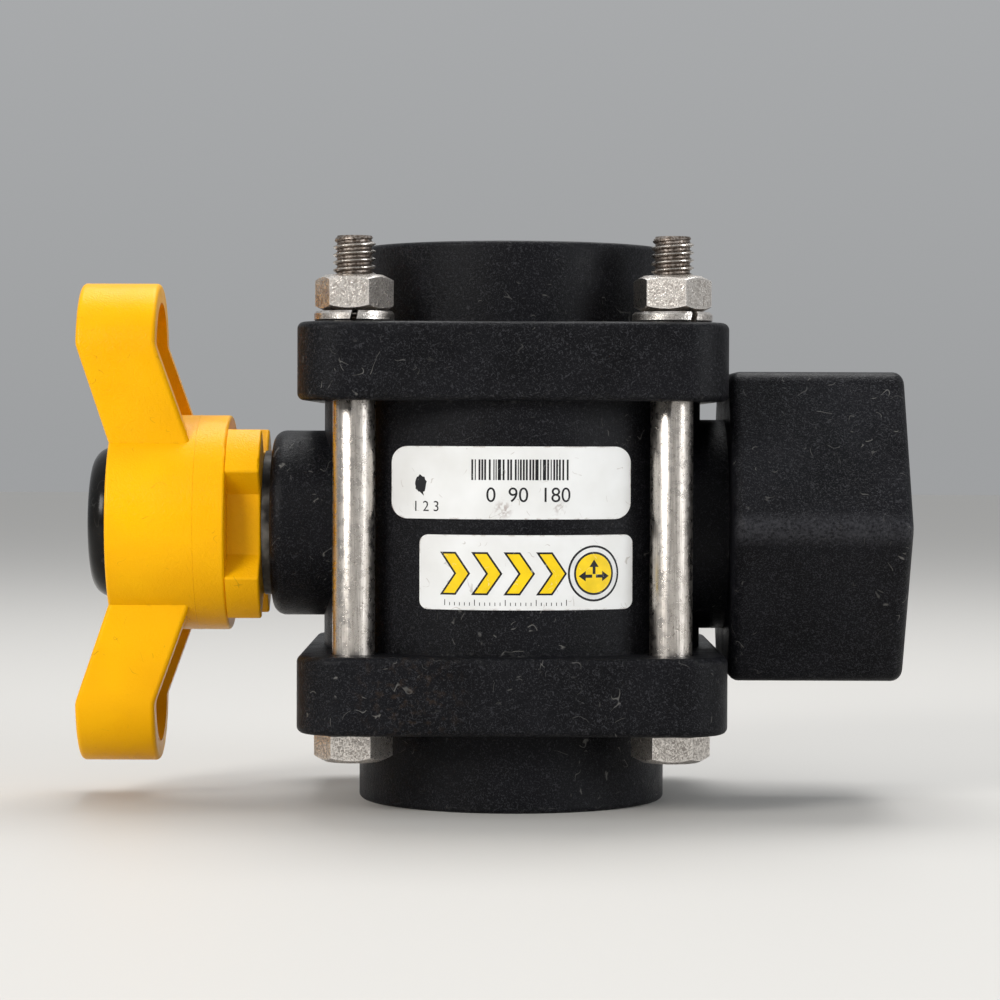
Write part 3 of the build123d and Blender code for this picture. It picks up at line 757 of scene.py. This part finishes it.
def build_lock_washer():
    """One split washer on the Z axis, its gap towards plus X."""
    low, high = washers_low.z, washers_high.z
    inner, outer, broken = bolt_radius + 0.2 * MM, washer_radius, 0.45 * MM
    profile = [
        (inner + broken, low), (outer - broken, low), (outer, low + broken), (outer, high - broken),
        (outer - broken, high), (inner + broken, high), (inner, high - broken), (inner, low + broken),
    ]
    half_gap = 0.62 * MM / washer_radius
    slant = 0.5 * MM / washer_radius
    middle_height = (low + high) / 2
    shape = bmesh.new()
    slices = []
    for step in range(RING_STEPS + 1):
        angle = half_gap + (tau - 2 * half_gap) * step / RING_STEPS
        cut = []
        for radius, height in profile:
            turned = angle + slant * (height - middle_height) / (high - low)
            cut.append(shape.verts.new((radius * cos(turned), radius * sin(turned), height)))
        slices.append(cut)
    for before, after in zip(slices, slices[1:]):
        join_rings(shape, before, after)
    shape.faces.new(slices[0])
    shape.faces.new(slices[-1][::-1])
    return shape


nut_turns = {"front_left": -6, "back_left": 25, "front_right": -13, "back_right": 8}
washer_turns = {"front_left": -88, "back_left": 40, "front_right": -60, "back_right": 200}
for corner, (x, y) in bolt_places.items():
    shape = build_nut()
    place_shape(shape, Matrix.Translation((x, y, 0)) @ Matrix.Rotation(radians(nut_turns[corner]), 4, "Z"))
    make_piece(f"nut_{corner}", shape, tumbled_steel, "valve", ["hex_nuts"])
    shape = build_lock_washer()
    place_shape(shape, Matrix.Translation((x, y, 0)) @ Matrix.Rotation(radians(washer_turns[corner]), 4, "Z"))
    make_piece(f"lock_washer_{corner}", shape, tumbled_steel, "valve", ["lock_washers"])

# %% [markdown]
# ## Pipe threads in the three ports
#
# The photograph looks at the ports from the side, but anyone who turns the valve looks into them, and a
# port without a thread would give the model away. Each is a sleeve with a tapered pipe thread inside, 14
# turns to the inch, sunk a hair into the bore's wall. Close to the mouth the crests fade into the
# countersink, and at the inner end into the plain bore. A polished core forms the thread in the mould, so it
# is smoother than the skin outside and gets the same finish as the turned parts.

# %% Build the threaded sleeves
port_radius = 13.35 * MM
port_pitch = 25.4 / 14 * MM
port_thread_depth = 0.72 * port_pitch
sleeve_start, sleeve_end = 0.45 * MM, 18 * MM


def port_surface(depth, height):
    """Inner radius of a tapered pipe thread, `height` metres in from the mouth."""
    root = port_radius - height / 32
    crest = root - port_thread_depth
    faded = port_radius - 1.2 * (height - sleeve_start)
    run_out = port_radius - 0.55 * (sleeve_end - height)
    return min(port_radius, max(crest + depth * port_thread_depth, faded, run_out))


port_places = {
    "lower": Matrix.Identity(4),
    "upper": Matrix.Translation((0, 0, valve_top)) @ Matrix.Rotation(pi, 4, "X"),
    "side": Matrix.Translation((body_high.x, 0, centre_height)) @ Matrix.Rotation(-pi / 2, 4, "Y"),
}
for side, matrix in port_places.items():
    shape = thread_skin(sleeve_start, sleeve_end, port_pitch, port_surface)
    wall = port_radius + 0.06 * MM
    stack(shape, [(wall, sleeve_start), (wall, sleeve_end)])
    for end in (sleeve_start, sleeve_end):
        bmesh.ops.triangle_fill(shape, edges=edges_at(shape, end), use_beauty=True, normal=(0, 0, 1))
    place_shape(shape, matrix)
    make_piece(f"{side}_port_thread", shape, smooth_finishes["turned_black_plastic"], "valve")

# %% [markdown]
# ## Mould lines
#
# A moulding shows where the halves of its mould met: a line as thin as a hair that stands a little proud.
# On the body it runs all round at mid height. Cutting a copy of the body with a level plane gives exactly
# that line, and a thin tube along it, half sunk in the plastic, is the flash. The handle's hub has such a
# line too, a circle just behind the wings.

# %% Build the mould lines
def flash_along(name, line_mesh, thickness, finish, body):
    """A thin closed tube along the edges of a mesh."""
    flash = bpy.data.objects.new(name, line_mesh)
    bpy.context.scene.collection.objects.link(flash)
    bpy.ops.object.select_all(action="DESELECT")
    flash.select_set(True)
    bpy.context.view_layer.objects.active = flash
    bpy.ops.object.convert(target="CURVE")
    flash.data.bevel_depth = thickness
    flash.data.bevel_resolution = 1
    flash.data.use_fill_caps = True
    bpy.ops.object.convert(target="MESH")
    shape = bmesh.new()
    shape.from_mesh(flash.data)
    bpy.data.objects.remove(flash)
    bmesh.ops.remove_doubles(shape, verts=shape.verts[:], dist=1e-7)
    open_ends = [edge for edge in shape.edges if edge.is_boundary]
    bmesh.ops.holes_fill(shape, edges=open_ends, sides=0)
    for vert in shape.verts:
        vert.co.x = min(vert.co.x, body_high.x)
    make_piece(name, shape, finish, body)


def outer_edges(node, plane_point, plane_normal):
    """The edges where a plane cuts the outside of a part, as a mesh."""
    shape = bmesh.new()
    shape.from_mesh(parts[node].data)
    place_shape(shape, parts[node].matrix_world)
    bmesh.ops.remove_doubles(shape, verts=shape.verts[:], dist=1e-6)
    everything = shape.verts[:] + shape.edges[:] + shape.faces[:]
    cut = bmesh.ops.bisect_plane(shape, geom=everything, plane_co=plane_point, plane_no=plane_normal)
    line = bmesh.new()
    points = {}
    for edge in cut["geom_cut"]:
        if not isinstance(edge, bmesh.types.BMEdge):
            continue
        middle_y = sum(vert.co.y for vert in edge.verts) / 2
        outward = sum(face.normal.y for face in edge.link_faces) * middle_y
        if outward <= 0:
            continue
        ends = []
        for vert in edge.verts:
            key = tuple(round(value, 6) for value in vert.co)
            if key not in points:
                points[key] = line.verts.new(vert.co)
            ends.append(points[key])
        if ends[0] != ends[1] and not line.edges.get(ends):
            line.edges.new(ends)
    line_mesh = bpy.data.meshes.new("mould_line")
    line.to_mesh(line_mesh)
    line.free()
    shape.free()
    return line_mesh


body_line = outer_edges("valve_body", (0, 0, centre_height), (0, 0, 1))
flash_along("body_mould_line", body_line, 0.07 * MM, black_plastic, "valve")

hub_radius = 20.85 * MM
hub_line_place = -60.5 * MM
hub_line_steps = 96
hub_line = bpy.data.meshes.new("hub_line")
line_points = [
    (hub_line_place, hub_radius * cos(angle), centre_height + hub_radius * sin(angle))
    for angle in (tau * step / hub_line_steps for step in range(hub_line_steps))
]
circle_edges = [(step, (step + 1) % hub_line_steps) for step in range(hub_line_steps)]
hub_line.from_pydata(line_points, circle_edges, [])
flash_along("hub_mould_line", hub_line, 0.06 * MM, yellow_plastic, "rotor")

# %% [markdown]
# ## Sticker film
#
# The two stickers are white plastic film. It isn't pure white: it has yellowed in soft clouds, dirt has
# collected along its rim, and it carries pin-head specks and hairline scratches. Its printing is plain: bars
# and numbers on the upper sticker, arrows, a round sign and a scale on the lower one.

# %% Make the sticker film
label_film = new_finish("white_label_film", 0.4, specular=0.4)
here = object_place(label_film)
film = layer(label_film, patches(label_film, here, 7 * MM, 0.3, 0.7), (0.77, 0.775, 0.77), (0.70, 0.70, 0.685))
spots = combine(
    label_film, "MAXIMUM",
    specks(label_film, here, 2.1 * MM, 0.13 * MM, 0.22), scratches(label_film, here, 5 * MM, 0.04 * MM, 0.6),
)
film = layer(label_film, combine(label_film, "MULTIPLY", spots, 0.5), film, (0.33, 0.28, 0.24))
rim_dirt = combine(
    label_film, "MULTIPLY",
    edge_wear(label_film, 0.5 * MM), patches(label_film, here, 1.5 * MM, 0.5, 0.62, 4.0),
)
film = layer(label_film, combine(label_film, "MULTIPLY", rim_dirt, 0.7), film, (0.20, 0.12, 0.09))
for stain_x, stain_z in ((8.6 * MM, 57.4 * MM), (-1.8 * MM, 56.9 * MM)):
    stain_place = (stain_x, -36.6 * MM, stain_z)
    smear = combine(
        label_film, "MULTIPLY",
        near(label_film, here, stain_place, 2.0 * MM), patches(label_film, here, 0.7 * MM, 0.45, 0.6, 3.0),
    )
    film = layer(label_film, combine(label_film, "MULTIPLY", smear, 0.6), film, (0.23, 0.15, 0.13))
wrinkles = raise_surface(label_film, noise(label_film, here, 3 * MM, 2.0), 0.03 * MM)
feed(
    label_film, Base_Color=film, Normal=wrinkles,
    Roughness=between(label_film, noise(label_film, here, 2 * MM, 3.0), 0.3, 0.7, 0.32, 0.48),
)
for name in ("upper_label", "lower_label"):
    parts[name].data.materials[0] = label_film


def printing_ink(name, colour, worn_colour):
    """Ink with soft uneven coverage and small worn spots."""
    ink = new_finish(name, 0.36, specular=0.22)
    here = object_place(ink)
    cover = layer(ink, patches(ink, here, 2.5 * MM, 0.3, 0.75), colour, tuple(0.82 * value for value in colour))
    worn = combine(
        ink, "MAXIMUM",
        specks(ink, here, 1.4 * MM, 0.09 * MM, 0.2), scratches(ink, here, 3 * MM, 0.03 * MM, 0.56),
    )
    cover = layer(ink, combine(ink, "MULTIPLY", worn, 0.55), cover, worn_colour)
    feed(ink, Base_Color=cover, Roughness=between(ink, noise(ink, here, 1 * MM), 0.3, 0.7, 0.28, 0.45),
         Normal=raise_surface(ink, noise(ink, here, 0.3 * MM), 0.004 * MM))
    return ink


black_ink = printing_ink("black_ink", (0.012, 0.012, 0.014), (0.45, 0.45, 0.44))
yellow_ink = printing_ink("yellow_ink", (0.90, 0.62, 0.010), (0.82, 0.76, 0.50))
white_ink = printing_ink("white_ink", (0.74, 0.74, 0.73), (0.50, 0.48, 0.44))
print("film and three inks")

# %% [markdown]
# ## Printing on a curved sticker
#
# Each print starts as flat shapes on a drawing plane, X to the right and Y up. The helper cuts them into
# strips a millimetre wide, so that they can bend, lifts them by a hundredth of a millimetre or two, and
# rolls the plane onto the barrel. The pieces are closed solids, so they show no stray faces, and one ink
# can lie on another.

# %% Helpers that roll a flat print onto the barrel
label_radius = -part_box("upper_label")[0].y


def draw(shape, points):
    """One flat patch from its corner points, in millimetres on the drawing plane."""
    shape.faces.new([shape.verts.new((x * MM, y * MM, 0)) for x, y in points])


def draw_bar(shape, left, right, low, high):
    """An upright rectangle."""
    draw(shape, [(left, low), (right, low), (right, high), (left, high)])


def draw_disc(shape, x, y, radius, corners=40):
    """A round patch."""
    draw(shape, [
        (x + radius * cos(tau * step / corners), y + radius * sin(tau * step / corners))
        for step in range(corners)
    ])


def draw_numbers(shape, text, height, left, low):
    """Plain numbers in Blender's own lettering, made to a given height."""
    letters = bpy.data.curves.new("numbers", "FONT")
    letters.body = text
    letters.size = height * MM / 0.70
    holder = bpy.data.objects.new("numbers", letters)
    flat = bpy.data.meshes.new_from_object(holder)
    flat.transform(Matrix.Translation((left * MM, low * MM, 0)))
    shape.from_mesh(flat)
    bpy.data.objects.remove(holder)
    bpy.data.meshes.remove(flat)


def roll_on(name, shape, lift, ink):
    """Cut the flat print into strips, thicken it, roll it onto the barrel and make it a piece."""
    bmesh.ops.remove_doubles(shape, verts=shape.verts[:], dist=1e-7)
    first = floor(min(vert.co.x for vert in shape.verts) / MM)
    last = ceil(max(vert.co.x for vert in shape.verts) / MM)
    for cut in range(first, last):
        everything = shape.verts[:] + shape.edges[:] + shape.faces[:]
        bmesh.ops.bisect_plane(shape, geom=everything, dist=1e-8, plane_co=(cut * MM, 0, 0), plane_no=(1, 0, 0))
    everything = shape.verts[:] + shape.edges[:] + shape.faces[:]
    raised = bmesh.ops.extrude_face_region(shape, geom=everything, use_keep_orig=True)
    sunk = -0.02 * MM
    top = [item for item in raised["geom"] if isinstance(item, bmesh.types.BMVert)]
    for vert in shape.verts:
        vert.co.z = sunk
    for vert in top:
        vert.co.z = lift
    for vert in shape.verts:
        angle = vert.co.x / label_radius
        radius = label_radius + vert.co.z
        vert.co = (radius * sin(angle), -radius * cos(angle), vert.co.y)
    make_piece(name, shape, ink, "valve")


# %% [markdown]
# ## The printing on the upper sticker
#
# A field of bars in mixed widths, the handle's three angles in degrees below it, the port numbers at the
# lower left, and above those an ink blot. The bars come from a seeded random series, so they stand for no
# real code and are the same each time.

# %% Print the upper sticker
bars = random.Random(5)
bar_field = bmesh.new()
x = -7.7
while x < 10.2:
    width = bars.choice((0.2, 0.35, 0.35, 0.6))
    draw_bar(bar_field, x, min(x + width, 10.5), 62.3, 66.1)
    x += width + bars.choice((0.18, 0.2, 0.3, 0.5))
roll_on("bar_field", bar_field, 0.012 * MM, black_ink)

angle_numbers = bmesh.new()
draw_numbers(angle_numbers, "0  90  180", 2.7, -5.0, 58.3)
roll_on("angle_numbers", angle_numbers, 0.012 * MM, black_ink)

port_numbers = bmesh.new()
draw_numbers(port_numbers, "1 2 3", 1.9, -19.4, 56.5)
roll_on("port_numbers", port_numbers, 0.012 * MM, black_ink)

blot = bmesh.new()
blot_edge = random.Random(8)
blot_points = []
for step in range(22):
    angle = tau * step / 22
    reach = 1 + blot_edge.uniform(-0.11, 0.11)
    blot_points.append((-17.7 + 1.2 * reach * cos(angle), 61.5 + 1.65 * reach * sin(angle)))
blot_points[17] = (-17.0, 59.3)
draw(blot, blot_points)
roll_on("ink_blot", blot, 0.014 * MM, black_ink)

# %% [markdown]
# ## The printing on the lower sticker
#
# Four yellow flow arrows with heavy black outlines point to the side port. The round sign next to them says
# that the valve has three ways: three small arrows lead from its middle to the left, the right and up. Each
# outline is a larger black shape under the coloured one, so no shape needs a hole. A row of ticks, a scale
# for the handle's turn, runs below.

# %% Print the lower sticker
def grown(points, margin):
    """The outline moved outwards by a margin. The points run counter-clockwise."""
    outline = []
    for index, point in enumerate(points):
        here, before, after = Vector(point), Vector(points[index - 1]), Vector(points[(index + 1) % len(points)])
        first, second = (here - before).normalized(), (after - here).normalized()
        first_out, second_out = Vector((first.y, -first.x)), Vector((second.y, -second.x))
        outline.append(tuple(here + (first_out + second_out) * margin / (1 + first_out.dot(second_out))))
    return outline


arrow_low, arrow_high = 41.5, 48.7
arrow_outlines, arrow_fills = bmesh.new(), bmesh.new()
for left in (-13.0, -7.0, -1.0, 5.0):
    arrow = [
        (left, arrow_low), (left + 2.2, arrow_low), (left + 4.7, (arrow_low + arrow_high) / 2),
        (left + 2.2, arrow_high), (left, arrow_high), (left + 2.5, (arrow_low + arrow_high) / 2),
    ]
    draw(arrow_outlines, grown(arrow, 0.36))
    draw(arrow_fills, arrow)
roll_on("arrow_outlines", arrow_outlines, 0.010 * MM, black_ink)
roll_on("arrow_fills", arrow_fills, 0.022 * MM, yellow_ink)

sign_x, sign_y, sign_radius = 15.5, 45.1, 5.2
sign_rim, sign_ground, disc_rim, disc_fill, three_ways = (bmesh.new() for _ in range(5))
draw_disc(sign_rim, sign_x, sign_y, sign_radius)
draw_disc(sign_ground, sign_x, sign_y, sign_radius - 0.4)
draw_disc(disc_rim, sign_x, sign_y, 4.0)
draw_disc(disc_fill, sign_x, sign_y, 3.6)
for turn in (0, 90, 180):
    along = Vector((cos(radians(turn)), sin(radians(turn))))
    across = Vector((-along.y, along.x))
    centre = Vector((sign_x, sign_y - 0.5)) + 0.38 * along
    arrow = [(0, -0.3), (1.3, -0.3), (1.3, -0.95), (2.7, 0), (1.3, 0.95), (1.3, 0.3), (0, 0.3)]
    draw(three_ways, [tuple(centre + reach * along + side * across) for reach, side in arrow])
roll_on("sign_rim", sign_rim, 0.010 * MM, black_ink)
roll_on("sign_ground", sign_ground, 0.016 * MM, white_ink)
roll_on("sign_disc_rim", disc_rim, 0.022 * MM, black_ink)
roll_on("sign_disc", disc_fill, 0.028 * MM, yellow_ink)
roll_on("sign_three_ways", three_ways, 0.034 * MM, black_ink)

scale_ticks = bmesh.new()
for step in range(25):
    tick_height = 1.1 if step % 6 == 0 else 0.6
    draw_bar(scale_ticks, -12.8 + step * 0.95, -12.8 + step * 0.95 + 0.14, 39.2, 39.2 + tick_height)
roll_on("scale_ticks", scale_ticks, 0.012 * MM, black_ink)
